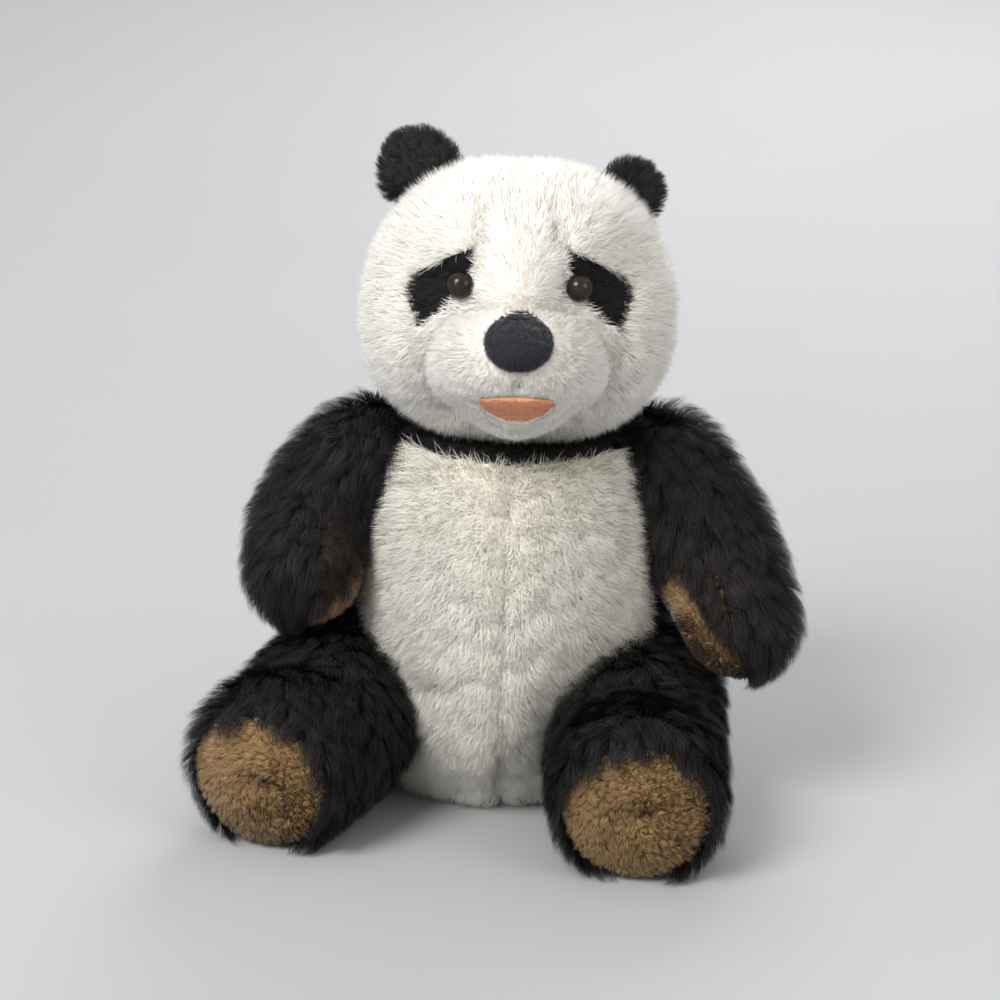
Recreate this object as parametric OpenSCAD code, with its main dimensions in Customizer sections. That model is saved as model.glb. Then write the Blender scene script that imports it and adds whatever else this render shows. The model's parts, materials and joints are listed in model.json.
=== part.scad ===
// Sitting plush panda: sewn pile-fabric panels over fibre filling, with soft joints at the neck,
// the shoulders, the hips and the ears. Right and left are the panda's own. It faces -Y and sits on Z = 0.

/* [Torso] */
// Height of the neck seam above the seat
torso_h = 167; // [162:1:168]
// Half of the torso's greatest width
torso_w = 66; // [62:1:67]
// Reach of the belly in front of the centre line
belly_reach = 72; // [66:1:76]
// Reach of the back behind the centre line
back_reach = 60; // [54:1:64]
// Sideways lean of the neck towards the panda's left
lean = 6; // [0:1:8]
// Thickness of the fabric with its pile pressed flat
cloth = 2; // [1.5:0.1:2.5]
// Height where the black back panel meets the white one
back_seam_z = 92; // [80:1:110]

/* [Head] */
// Half of the head's width
head_w = 64; // [60:1:66]
// Half of the head's depth
head_d = 55; // [52:1:58]
// Half of the head's height
head_h = 59; // [56:1:60]
// Half of the muzzle's width
muzzle_w = 34; // [30:1:36]
// Half of the muzzle's height
muzzle_h = 26; // [22:1:26]
// How far the muzzle stands out of the face
muzzle_reach = 30; // [24:1:34]
// Half of the nose's width
nose_w = 14.5; // [12:0.5:16]
// Half of the nose's height
nose_h = 11; // [9:0.5:12]
// Radius of an eye's plastic dome
eye_r = 6; // [5:0.5:6.5]
// Distance of each eye from the middle of the face
eye_x = 25; // [23:1:27]

/* [Ears] */
// Height of an ear above its seam
ear_h = 23; // [20:1:26]
// Half of an ear's width
ear_w = 18; // [15:1:20]
// Outward tilt of the right ear and of the left ear, in degrees
ear_tilt = [12, 44]; // [8:1:50]

/* [Arms] */
// Radius of an arm at the shoulder
arm_r = 25; // [23:1:26]
// Radius of a paw
paw_r = 23; // [21:1:24]
// Height of the right paw's centre and of the left paw's centre
paw_z = [111, 91]; // [86:1:114]

/* [Legs] */
// Radius of a thigh at the hip
thigh_r = 34; // [32:1:35]
// Radius of a foot
foot_r = 33; // [30:1:34]
// Distance from the hip to the middle of the foot
leg_l = 98; // [90:1:102]
// Outward turn of the right leg and of the left leg, in degrees
leg_yaw = [20, -4]; // [-5:1:28]

/* [Hidden] */

BLACK = "#211d1e";
WHITE = "#f1ece2";
CREAM = "#ece5d3";
BROWN = "#7e6343";
NAVY = "#15161d";
PEACH = "#dd9c80";
AMBER = "#3b2a20";
FIBRE = "#dcdcd8";

RIGHT = -1;
LEFT = 1;
// Space between a filling and the fabric over it, and between layers that lie on each other
tuck = 0.3;
// Space left around everything that turns
play = 0.5;
// Share of the way to a cap's pole where its last ring lies
near_pole = 0.96;

// Torso half-width, front reach and back reach at shares of its height, as shares of the greatest
WIDTHS = [[0, 0.60], [0.05, 0.80], [0.2, 0.97], [0.4, 1], [0.6, 0.99], [0.8, 0.94], [0.93, 0.82], [1, 0.62]];
FRONTS = [[0, 0.58], [0.06, 0.8], [0.2, 0.96], [0.42, 1], [0.62, 0.95], [0.8, 0.85], [0.93, 0.7], [1, 0.5]];
BACKS = [[0, 0.80], [0.05, 0.95], [0.2, 1], [0.5, 0.93], [0.75, 0.8], [0.93, 0.64], [1, 0.5]];
// The front narrows between the legs: 1 is an ellipse, more is narrower
NARROWS = [[0, 2.2], [0.3, 2.0], [0.5, 1.25], [0.65, 1]];

// Panels and fillings share one grid of columns and rows, so that their facets lie over each other
torso_column = 11.25;
belly_half_angle = 6 * torso_column;
back_half_angle = 4 * torso_column;
yoke_z = torso_h - 10;
seat_lip = 6;
TORSO_ROWS = concat(steps(seat_lip, back_seam_z, 5), steps(back_seam_z, yoke_z, 4), [torso_h]);
pole = 90 * near_pole;

neck = [lean, 4, torso_h + 14];
neck_r = 21;
head = [lean, -6, neck[2] + head_h - 11];
head_column = 12;
gusset_angle = 15;
brow_angle = 0;
throat_angle = -48;
nape_angle = 108;
collar_angle = 252;
FACE_ROWS = steps(gusset_angle, pole, 7);
muzzle_z = head[2] - 22;
nose_z = head[2] - 5.5;
nose_puff = 7;
mouth_z = head[2] - 35;
mouth_w = 15;
mouth_h = 7.5;
patch_puff = 1.5;
patch_x = 31.5;
patch_drop = 2;
patch_tilt = 43;
eye_z = head[2] + 14;
eye_pitch = 12;
eye_turn = 20;
eye_stem_r = 1.6;
eye_stem_l = 12;
washer_r = 7;
washer_t = 1.2;

ear_x = [41, 44];
ear_lift = 7.5;
ear_fabric = 1.6;

shoulder_z = 151;
shoulder_x = 70;
shoulder_ball_r = 18;
elbow_x = [97, 97];
elbow_y = -6;
// Backward swings of each arm that the torso leaves room for
arm_sweep = [0, 7];
paw_x = [90, 106];
paw_y = -36;
hip_z = 47;
hip_x = 66;
hip_y = [4, -14];
// Turns of each thigh that the torso leaves room for
thigh_sweep = [[0, 10, 20], [-8, 2, 12]];
sole_bulge = 12;

function pick(side, pair) = side == RIGHT ? pair[0] : pair[1];
function unit(v) = v / norm(v);
function steps(from, to, count) = [for (i = [0:count]) from + (to - from) * i / count];
function mirrored(list) = [for (i = [len(list) - 1:-1:0]) -list[i]];
function turn_steps(count) = [for (i = [0:count - 1]) 360 * i / count];

// A closed solid between two sheets, each a function of u and v. Outward is along du x dv.
// With around = true the u list closes on itself.
module layer(outer, inner, us, vs, around = false) {
    nu = len(us);
    nv = len(vs);
    skins = nu * nv;
    columns = around ? nu - 1 : nu - 2;
    points = concat(
        [for (v = vs) for (u = us) outer(u, v)],
        [for (v = vs) for (u = us) inner(u, v)]
    );
    function at(i, j, s) = s * skins + j * nu + i % nu;
    faces = concat(
        [for (j = [0:nv - 2]) for (i = [0:columns]) [at(i, j, 0), at(i, j + 1, 0), at(i + 1, j + 1, 0)]],
        [for (j = [0:nv - 2]) for (i = [0:columns]) [at(i, j, 0), at(i + 1, j + 1, 0), at(i + 1, j, 0)]],
        [for (j = [0:nv - 2]) for (i = [0:columns]) [at(i, j, 1), at(i + 1, j + 1, 1), at(i, j + 1, 1)]],
        [for (j = [0:nv - 2]) for (i = [0:columns]) [at(i, j, 1), at(i + 1, j, 1), at(i + 1, j + 1, 1)]],
        [for (i = [0:columns]) [at(i, 0, 0), at(i + 1, 0, 0), at(i + 1, 0, 1)]],
        [for (i = [0:columns]) [at(i, 0, 0), at(i + 1, 0, 1), at(i, 0, 1)]],
        [for (i = [0:columns]) [at(i, nv - 1, 0), at(i + 1, nv - 1, 1), at(i + 1, nv - 1, 0)]],
        [for (i = [0:columns]) [at(i, nv - 1, 0), at(i, nv - 1, 1), at(i + 1, nv - 1, 1)]],
        around ? [] : concat(
            [for (j = [0:nv - 2]) [at(0, j, 0), at(0, j, 1), at(0, j + 1, 1)]],
            [for (j = [0:nv - 2]) [at(0, j, 0), at(0, j + 1, 1), at(0, j + 1, 0)]],
            [for (j = [0:nv - 2]) [at(nu - 1, j, 0), at(nu - 1, j + 1, 1), at(nu - 1, j, 1)]],
            [for (j = [0:nv - 2]) [at(nu - 1, j, 0), at(nu - 1, j + 1, 0), at(nu - 1, j + 1, 1)]]
        )
    );
    polyhedron(points, faces, convexity = 6);
}

// A closed solid inside one surface that goes all the way round, with flat ends
module core(shape, us, vs) {
    nu = len(us);
    nv = len(vs);
    points = [for (v = vs) for (u = us) shape(u, v)];
    faces = concat(
        [for (j = [0:nv - 2]) for (i = [0:nu - 1])
            [j * nu + i, (j + 1) * nu + i, (j + 1) * nu + (i + 1) % nu]],
        [for (j = [0:nv - 2]) for (i = [0:nu - 1])
            [j * nu + i, (j + 1) * nu + (i + 1) % nu, j * nu + (i + 1) % nu]],
        [[for (i = [0:nu - 1]) i]],
        [[for (i = [nu - 1:-1:0]) (nv - 1) * nu + i]]
    );
    polyhedron(points, faces, convexity = 6);
}

// Torso: angle a goes round from the panda's left, and its front is at -90
function torso_at(a, z, inset) =
    let (share = z / torso_h,
         front = sin(a) < 0,
         w = torso_w * lookup(share, WIDTHS) - inset,
         d = (front ? belly_reach * lookup(share, FRONTS) : back_reach * lookup(share, BACKS)) - inset,
         power = front ? lookup(share, NARROWS) : 1)
    [lean * share + w * sign(cos(a)) * pow(abs(cos(a)), power), d * sin(a), z];

module torso_layer(a0, a1, z0, z1) {
    layer(
        function(a, z) torso_at(a, z, 0),
        function(a, z) torso_at(a, z, cloth),
        steps(a0, a1, round((a1 - a0) / torso_column)), [for (z = TORSO_ROWS) if (z >= z0 && z <= z1) z]
    );
}

// Spaces that the torso leaves for the limbs and the neck
module joint_room() {
    for (side = [RIGHT, LEFT]) {
        translate(shoulder(side)) sphere(arm_r + 2 * play, $fn = 48);
        translate(hip(side)) sphere(thigh_r + 2 * play, $fn = 48);
        translate(hip(side)) leg_way(side);
        arm_way(side);
    }
    translate(neck) sphere(neck_r + play, $fn = 48);
}

// The way that a thigh sweeps when it splays inwards
module leg_way(side) {
    slope = asin((hip_z - foot_r) / leg_l);
    for (yaw = pick(side, thigh_sweep))
        rotate([90 + slope, 0, side * yaw]) cylinder(leg_l, thigh_r, foot_r, $fn = 48);
}

// The hollow that an arm presses into the torso's side, at rest and swung back
module arm_way(side) {
    for (back = arm_sweep)
        translate(shoulder(side)) rotate([back, 0, 0]) translate(-shoulder(side)) core(
            function(a, v) limb_at(arm(side), a, v, -play),
            turn_steps(360 / limb_column), SPINE_ROWS
        );
}

module torso_part(pile) {
    color(pile) difference() {
        children();
        joint_room();
    }
}

module torso_filling() {
    torso_part(FIBRE) core(
        function(a, z) torso_at(a, z, cloth + tuck),
        turn_steps(360 / torso_column), concat([cloth + tuck], TORSO_ROWS)
    );
}

module belly_panel(side) {
    torso_part(CREAM) torso_layer(
        side == RIGHT ? -90 - belly_half_angle : -90,
        side == RIGHT ? -90 : -90 + belly_half_angle,
        seat_lip, yoke_z
    );
}

module chest_yoke() {
    torso_part(BLACK) torso_layer(-90 - belly_half_angle, -90 + belly_half_angle, yoke_z, torso_h);
}

module side_panel(side) {
    torso_part(BLACK) torso_layer(
        side == RIGHT ? 90 + back_half_angle : -90 + belly_half_angle,
        side == RIGHT ? 270 - belly_half_angle : 90 - back_half_angle,
        seat_lip, torso_h
    );
}

module upper_back_panel() {
    torso_part(BLACK) torso_layer(90 - back_half_angle, 90 + back_half_angle, back_seam_z, torso_h);
}

module lower_back_panel() {
    torso_part(WHITE) torso_layer(90 - back_half_angle, 90 + back_half_angle, seat_lip, back_seam_z);
}

// The flat bottom with a rim that turns up to the other panels
module seat_panel() {
    color(BLACK) difference() {
        core(function(a, z) torso_at(a, z, 0), turn_steps(360 / torso_column), [0, seat_lip]);
        core(
            function(a, z) torso_at(a, z, cloth),
            turn_steps(360 / torso_column), [cloth, seat_lip, 2 * seat_lip]
        );
        joint_room();
    }
}

// A rounded blob with half-sizes r about a centre
module blob(centre, r, around, rows) {
    core(
        function(a, t) centre + [r[0] * cos(a) * cos(t), r[1] * sin(a) * cos(t), r[2] * sin(t)],
        turn_steps(around), steps(-pole, pole, rows)
    );
}

module tail() {
    color(WHITE) blob([lean * 0.2, back_reach + 12.5, 26], [15, 11, 14], 20, 8);
}

module care_label() {
    label = [0.8, 13, 17];
    color("white") translate([lean * 0.2 + 26, back_reach - 3, 8]) cube(label);
}

module neck_filling() {
    color(FIBRE) translate(neck) sphere(neck_r, $fn = 48);
}

// Head: angle a goes up over the top from the face at 0, and phi goes out to the sides
function head_at(phi, a, inset) =
    head + [
        (head_w - inset) * sin(phi),
        -(head_d - inset) * cos(phi) * cos(a),
        (head_h - inset) * cos(phi) * sin(a)
    ];

module gusset_layer(a0, a1) {
    color(WHITE) difference() {
        layer(
            function(phi, a) head_at(phi, a, 0),
            function(phi, a) head_at(phi, a, cloth),
            steps(-gusset_angle, gusset_angle, 3), steps(a0, a1, (a1 - a0) / head_column)
        );
        translate(neck) sphere(neck_r + play, $fn = 48);
    }
}

module forehead_gusset() {
    gusset_layer(brow_angle, nape_angle);
}

module back_of_head() {
    gusset_layer(nape_angle, collar_angle);
}

module throat_panel() {
    gusset_layer(-72, throat_angle);
}

module face_panel(side) {
    color(WHITE) difference() {
        layer(
            function(u, phi) head_at(phi, -u, 0),
            function(u, phi) head_at(phi, -u, cloth),
            turn_steps(360 / head_column),
            side == RIGHT ? mirrored(FACE_ROWS) : FACE_ROWS,
            around = true
        );
        eye_hole(side);
        translate(neck) sphere(neck_r + play, $fn = 48);
    }
}

module head_filling() {
    color(FIBRE) difference() {
        core(
            function(u, phi) head_at(phi, -u, cloth + tuck),
            turn_steps(360 / head_column), concat(mirrored(FACE_ROWS), [-5, 5], FACE_ROWS)
        );
        for (side = [RIGHT, LEFT])
            at_eye(side) translate([0, 0, -eye_stem_l - 3]) cylinder(h = 20, r = washer_r + play, $fn = 32);
        translate(neck) sphere(neck_r + play, $fn = 48);
    }
}

// The face as a height field: how far forward the head and the muzzle reach at x and z
function head_front(x, z) =
    head[1] - head_d * sqrt(max(0, 1 - pow((x - head[0]) / head_w, 2) - pow((z - head[2]) / head_h, 2)));

function muzzle_rise(x, z) =
    sqrt(max(0, 1 - pow((x - head[0]) / muzzle_w, 2) - pow((z - muzzle_z) / muzzle_h, 2)));

function muzzle_front(x, z) = head_front(x, z) - tuck - muzzle_reach * muzzle_rise(x, z);

function muzzle_at(a, rho, inset) =
    let (x = head[0] + rho * (muzzle_w - inset) * cos(a),
         z = muzzle_z + rho * (muzzle_h - inset) * sin(a))
    [x, head_front(x, z) - tuck - (muzzle_reach - inset) * sqrt(1 - rho * rho), z];

function rim_to_tip(rows) = [for (i = [0:rows]) cos(pole * i / rows)];

module muzzle_panel() {
    color(WHITE) layer(
        function(a, rho) muzzle_at(a, rho, 0),
        function(a, rho) muzzle_at(a, rho, cloth),
        turn_steps(28), rim_to_tip(7), around = true
    );
}

module muzzle_filling() {
    color(FIBRE) layer(
        function(a, rho) muzzle_at(a, rho, cloth + tuck),
        function(a, rho) let (p = muzzle_at(a, rho, cloth + tuck))
            [p[0], head_front(p[0], p[2]) - 1.5 * tuck, p[2]],
        turn_steps(28), [for (rho = rim_to_tip(7)) min(rho, 0.985)], around = true
    );
}

// A small piece that lies on the face, raised by puff in its middle and turned by roll in the face's plane
module face_piece(centre, half, roll, puff, front, base, around, rows) {
    function spot(a, q) =
        let (u = q * half[0] * cos(a), w = q * half[1] * sin(a))
        [centre[0] + u * cos(roll) - w * sin(roll), centre[1] + u * sin(roll) + w * cos(roll)];
    layer(
        function(a, q) let (s = spot(a, q))
            [s[0], front(s[0], s[1]) - base - puff * sqrt(1 - q * q) - tuck, s[1]],
        function(a, q) let (s = spot(a, q)) [s[0], front(s[0], s[1]) - base, s[1]],
        turn_steps(around), rim_to_tip(rows), around = true
    );
}

module nose() {
    color(NAVY) face_piece(
        [head[0], nose_z], [nose_w, nose_h], 0, nose_puff,
        function(x, z) muzzle_front(x, z), 2 * tuck, 24, 5
    );
}

module mouth() {
    color(PEACH) face_piece(
        [head[0], mouth_z], [mouth_w, mouth_h], 0, 2,
        function(x, z) muzzle_front(x, z), 2 * tuck, 20, 4
    );
}

module eye_patch(side) {
    color(BLACK) difference() {
        face_piece(
            [head[0] + side * patch_x, eye_z - patch_drop], [19, 10.5], -side * patch_tilt, patch_puff,
            function(x, z) head_front(x, z), 1.5 * tuck, 24, 4
        );
        eye_hole(side);
    }
}

function eye_seat(side) =
    let (x = head[0] + side * eye_x)
    [x, head_front(x, eye_z) - patch_puff - 4 * tuck, eye_z];

module at_eye(side) {
    translate(eye_seat(side)) rotate([90 - eye_pitch, 0, side * eye_turn]) children();
}

module eye_hole(side) {
    at_eye(side) translate([0, 0, -eye_stem_l]) cylinder(h = eye_stem_l + 2, r = eye_stem_r + tuck, $fn = 24);
}

module eye(side) {
    color(AMBER) at_eye(side) {
        intersection() {
            sphere(eye_r, $fn = 48);
            cylinder(h = 2 * eye_r, r = 2 * eye_r, $fn = 48);
        }
        translate([0, 0, -eye_stem_l]) cylinder(h = eye_stem_l + 1, r = eye_stem_r, $fn = 24);
    }
}

module eye_washer(side) {
    color("white") at_eye(side) translate([0, 0, -cloth - patch_puff - 3.4 - washer_t]) difference() {
        cylinder(h = washer_t, r = washer_r, $fn = 32);
        translate([0, 0, -1]) cylinder(h = washer_t + 2, r = eye_stem_r + 0.1, $fn = 24);
    }
}

// Ears: each stands on its own seam, which it flexes about, and is cupped forwards
function ear_seat(side) =
    let (x = pick(side, ear_x), slope = x / head_w, z = head_h * sqrt(1 - slope * slope))
    head + [side * (x + ear_lift * 0.6), 8, z + ear_lift * 0.8];

function ear_at(u, v, hollow, offset) =
    [v * ear_w * cos(u) * (0.8 + 0.2 * sin(u)), hollow * (1 - v * v) + offset, v * ear_h * sin(u)];

module ear_layer(side, deep, deep_at, shallow, shallow_at) {
    translate(ear_seat(side)) rotate([0, side * pick(side, ear_tilt), 0]) layer(
        function(u, v) ear_at(u, v, deep, deep_at),
        function(u, v) ear_at(u, v, shallow, shallow_at),
        steps(0, 180, 14), [0.08, 0.35, 0.6, 0.82, 1]
    );
}

module ear_back(side) {
    color(BLACK) ear_layer(side, 5, ear_fabric, 3, 0);
}

module ear_front(side) {
    color(BLACK) ear_layer(side, 3, 0, 1.5, -ear_fabric);
}

// Limbs: a spine of three points, a radius at each end, the tip cap's reach and the way it turns from.
// v is -1 at the root's pole, 0 to 1 along the spine and 2 at the tip's pole.
function spine_at(s, t) = (1 - t) * (1 - t) * s[0] + 2 * t * (1 - t) * s[1] + t * t * s[2];
function spine_way(s, t) = unit((1 - t) * (s[1] - s[0]) + t * (s[2] - s[1]));

function limb_at(limb, a, v, inset) =
    let (s = limb[0], r = limb[1], tip = limb[2], across = limb[3],
         t = min(1, max(0, v)),
         cap = v < 0 ? v * 90 : v > 1 ? (v - 1) * 90 : 0,
         way = spine_way(s, t),
         side = unit(cross(way, across)),
         up = cross(way, side),
         radius = (r[0] + (r[1] - r[0]) * t - inset) * cos(cap),
         reach = (v < 0 ? r[0] - inset : tip - inset) * sin(cap))
    spine_at(s, t) + reach * way + radius * (cos(a) * side + sin(a) * up);

limb_column = 15;
ROOT_ROWS = [-near_pole, -0.7, -0.35];
SPINE_ROWS = steps(0, 1, 6);
TIP_ROWS = [1.3, 1.55, 1.78, 1 + near_pole];
LIMB_ROWS = concat(ROOT_ROWS, SPINE_ROWS, TIP_ROWS);

module limb_layer(limb, a0, a1, rows) {
    layer(
        function(a, v) limb_at(limb, a, v, 0),
        function(a, v) limb_at(limb, a, v, cloth),
        steps(a0, a1, (a1 - a0) / limb_column), rows
    );
}

module limb_filling(limb, ball, ball_r) {
    color(FIBRE) difference() {
        core(function(a, v) limb_at(limb, a, v, cloth + tuck), turn_steps(360 / limb_column), LIMB_ROWS);
        translate(ball) sphere(ball_r + play, $fn = 48);
    }
}

// Arms: each hangs from the shoulder, bows outwards and brings its paw to the front
function shoulder(side) = [side * shoulder_x + lean, 2, shoulder_z];
function arm(side) =
    [
        [
            shoulder(side),
            [side * pick(side, elbow_x) + lean, elbow_y, 0.6 * shoulder_z + 0.4 * pick(side, paw_z)],
            [side * pick(side, paw_x) + lean * 0.6, paw_y, pick(side, paw_z)]
        ],
        [arm_r, paw_r], paw_r, [0, 1, 0]
    ];
palm_row = 4;
palm_rows = concat([for (i = [palm_row:len(SPINE_ROWS) - 1]) SPINE_ROWS[i]], TIP_ROWS);
arm_rows = concat(ROOT_ROWS, [for (i = [0:palm_row]) SPINE_ROWS[i]]);

module shoulder_filling(side) {
    color(FIBRE) translate(shoulder(side)) sphere(shoulder_ball_r, $fn = 48);
}

module arm_filling(side) {
    limb_filling(arm(side), shoulder(side), shoulder_ball_r);
}

// a = 0 is where the limb's side vector points: the outer side of the left arm
function outer_start(side) = side == RIGHT ? 60 : -75;

module arm_outer_panel(side) {
    start = outer_start(side);
    color(BLACK) limb_layer(arm(side), start, start + 180, LIMB_ROWS);
}

module arm_inner_panel(side) {
    start = outer_start(side);
    color(BLACK) limb_layer(arm(side), start + 180, start + 360, arm_rows);
}

module palm_pad(side) {
    start = outer_start(side);
    color(BROWN) limb_layer(arm(side), start + 180, start + 360, palm_rows);
}

// Legs: each lies forward from the hip, slopes to the floor and ends in a blunt foot with a sole pad
function hip(side) = [side * hip_x + lean * 0.3, pick(side, hip_y), hip_z];
function leg(side) =
    let (yaw = pick(side, leg_yaw),
         foot = hip(side) + [side * leg_l * sin(yaw), -leg_l * cos(yaw), foot_r + tuck - hip_z])
    [[hip(side), (hip(side) + foot) / 2, foot], [thigh_r, foot_r], sole_bulge, [0, 0, 1]];
leg_rows = concat(ROOT_ROWS, SPINE_ROWS, [TIP_ROWS[0]]);

module leg_filling(side) {
    color(FIBRE) core(
        function(a, v) limb_at(leg(side), a, v, cloth + tuck), turn_steps(360 / limb_column), LIMB_ROWS
    );
}

module leg_outer_panel(side) {
    color(BLACK) limb_layer(leg(side), side == RIGHT ? 90 : -90, side == RIGHT ? 270 : 90, leg_rows);
}

module leg_inner_panel(side) {
    color(BLACK) limb_layer(leg(side), side == RIGHT ? -90 : 90, side == RIGHT ? 90 : 270, leg_rows);
}

module sole_pad(side) {
    color(BROWN) layer(
        function(a, v) limb_at(leg(side), a, v, 0),
        function(a, v) limb_at(leg(side), a, v, cloth),
        turn_steps(360 / limb_column), TIP_ROWS, around = true
    );
}

torso_filling();
belly_panel(RIGHT);  // belly_panel_right
belly_panel(LEFT);  // belly_panel_left
chest_yoke();
side_panel(RIGHT);  // side_panel_right
side_panel(LEFT);  // side_panel_left
upper_back_panel();
lower_back_panel();
seat_panel();
tail();
care_label();
neck_filling();
head_filling();
forehead_gusset();
face_panel(RIGHT);  // face_panel_right
face_panel(LEFT);  // face_panel_left
back_of_head();
throat_panel();
muzzle_panel();
muzzle_filling();
nose();
mouth();
eye_patch(RIGHT);  // eye_patch_right
eye_patch(LEFT);  // eye_patch_left
eye(RIGHT);  // eye_right
eye(LEFT);  // eye_left
eye_washer(RIGHT);  // eye_washer_right
eye_washer(LEFT);  // eye_washer_left
ear_back(RIGHT);  // ear_back_right
ear_back(LEFT);  // ear_back_left
ear_front(RIGHT);  // ear_front_right
ear_front(LEFT);  // ear_front_left
shoulder_filling(RIGHT);  // shoulder_filling_right
shoulder_filling(LEFT);  // shoulder_filling_left
arm_filling(RIGHT);  // arm_filling_right
arm_filling(LEFT);  // arm_filling_left
arm_outer_panel(RIGHT);  // arm_outer_panel_right
arm_outer_panel(LEFT);  // arm_outer_panel_left
arm_inner_panel(RIGHT);  // arm_inner_panel_right
arm_inner_panel(LEFT);  // arm_inner_panel_left
palm_pad(RIGHT);  // palm_pad_right
palm_pad(LEFT);  // palm_pad_left
leg_filling(RIGHT);  // leg_filling_right
leg_filling(LEFT);  // leg_filling_left
leg_outer_panel(RIGHT);  // leg_outer_panel_right
leg_outer_panel(LEFT);  // leg_outer_panel_left
leg_inner_panel(RIGHT);  // leg_inner_panel_right
leg_inner_panel(LEFT);  // leg_inner_panel_left
sole_pad(RIGHT);  // sole_pad_right
sole_pad(LEFT);  // sole_pad_left
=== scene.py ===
"""A sitting plush panda: white and black pile fabric over stuffing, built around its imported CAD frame."""

import json
import math

import bpy
import numpy as np
from mathutils import Matrix, Vector
from mathutils.bvhtree import BVHTree
from mathutils.kdtree import KDTree

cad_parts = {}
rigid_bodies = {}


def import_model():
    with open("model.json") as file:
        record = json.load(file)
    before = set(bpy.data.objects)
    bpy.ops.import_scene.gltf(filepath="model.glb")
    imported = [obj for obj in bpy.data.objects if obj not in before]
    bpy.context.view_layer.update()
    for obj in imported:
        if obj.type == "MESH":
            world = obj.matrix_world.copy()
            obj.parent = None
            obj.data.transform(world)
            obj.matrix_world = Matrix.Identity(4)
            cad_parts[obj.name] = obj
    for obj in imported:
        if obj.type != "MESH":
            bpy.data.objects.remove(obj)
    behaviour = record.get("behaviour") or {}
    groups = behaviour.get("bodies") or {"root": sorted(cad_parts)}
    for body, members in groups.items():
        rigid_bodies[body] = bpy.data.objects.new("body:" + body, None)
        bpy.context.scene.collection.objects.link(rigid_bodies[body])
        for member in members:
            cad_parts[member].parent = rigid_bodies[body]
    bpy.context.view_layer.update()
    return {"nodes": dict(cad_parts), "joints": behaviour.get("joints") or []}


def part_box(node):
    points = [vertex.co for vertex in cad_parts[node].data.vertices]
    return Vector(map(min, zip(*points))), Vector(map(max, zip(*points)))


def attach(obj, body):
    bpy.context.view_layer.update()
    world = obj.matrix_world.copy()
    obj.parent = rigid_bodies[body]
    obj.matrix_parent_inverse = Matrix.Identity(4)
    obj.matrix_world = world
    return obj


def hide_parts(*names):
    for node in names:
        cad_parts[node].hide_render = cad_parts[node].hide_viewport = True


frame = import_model()
MM = 0.001
seeded = np.random.default_rng(20)
THINNED = 1.0

# Shader maths.
# A socket behaves like a number, and a Paint adds any node from its type, settings and inputs.


class Value:
    """The output of a shader node, which can be added, multiplied and so on."""

    def __init__(self, paint, socket):
        self.paint, self.socket = paint, socket

    def maths(self, operation, *values):
        return self.paint.node("ShaderNodeMath", {"operation": operation}, values)

    def __add__(self, other):
        return self.maths("ADD", self, other)

    def __sub__(self, other):
        return self.maths("SUBTRACT", self, other)

    def __rsub__(self, other):
        return self.maths("SUBTRACT", other, self)

    def __mul__(self, other):
        return self.maths("MULTIPLY", self, other)

    def __truediv__(self, other):
        return self.maths("DIVIDE", self, other)

    def __rtruediv__(self, other):
        return self.maths("DIVIDE", other, self)

    def __pow__(self, other):
        return self.maths("POWER", self, other)

    __radd__ = __add__
    __rmul__ = __mul__

    def clamped(self, low=0.0, high=1.0):
        return self.maths("MINIMUM", self.maths("MAXIMUM", self, low), high)


class Paint:
    """A material whose Principled shader is fed by nodes."""

    def __init__(self, name, **plain):
        self.material = bpy.data.materials.new(name)
        self.material.use_nodes = True
        self.tree = self.material.node_tree
        self.shader = next(n for n in self.tree.nodes if n.type == "BSDF_PRINCIPLED")
        for socket, value in plain.items():
            self.shader.inputs[socket.replace("_", " ")].default_value = value

    def plug(self, value, socket):
        if isinstance(value, Value):
            self.tree.links.new(value.socket, socket)
        elif hasattr(value, "__len__") and socket.type == "RGBA":
            socket.default_value = (*value, 1.0)
        else:
            socket.default_value = value

    def node(self, kind, settings, inputs, output=0):
        made = self.tree.nodes.new(kind)
        for setting, value in settings.items():
            setattr(made, setting, value)
        pairs = inputs.items() if isinstance(inputs, dict) else enumerate(inputs)
        for socket, value in pairs:
            self.plug(value, made.inputs[socket])
        return Value(self, made.outputs[output])

    def mix(self, share, first, second):
        return self.node("ShaderNodeMix", {"data_type": "RGBA"}, {0: share, 6: first, 7: second}, 2)

    def place(self):
        return self.node("ShaderNodeTexCoord", {}, (), "Object")

    def noise(self, scale, detail=2.0):
        inputs = {"Vector": self.place(), "Scale": scale, "Detail": detail}
        return self.node("ShaderNodeTexNoise", {}, inputs, "Fac")

    def bump(self, height, strength, distance):
        inputs = {"Height": height, "Strength": strength, "Distance": distance}
        self.plug(self.node("ShaderNodeBump", {}, inputs), self.shader.inputs["Normal"])

    def colour(self, value):
        self.plug(value, self.shader.inputs["Base Color"])
        return self.material


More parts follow.
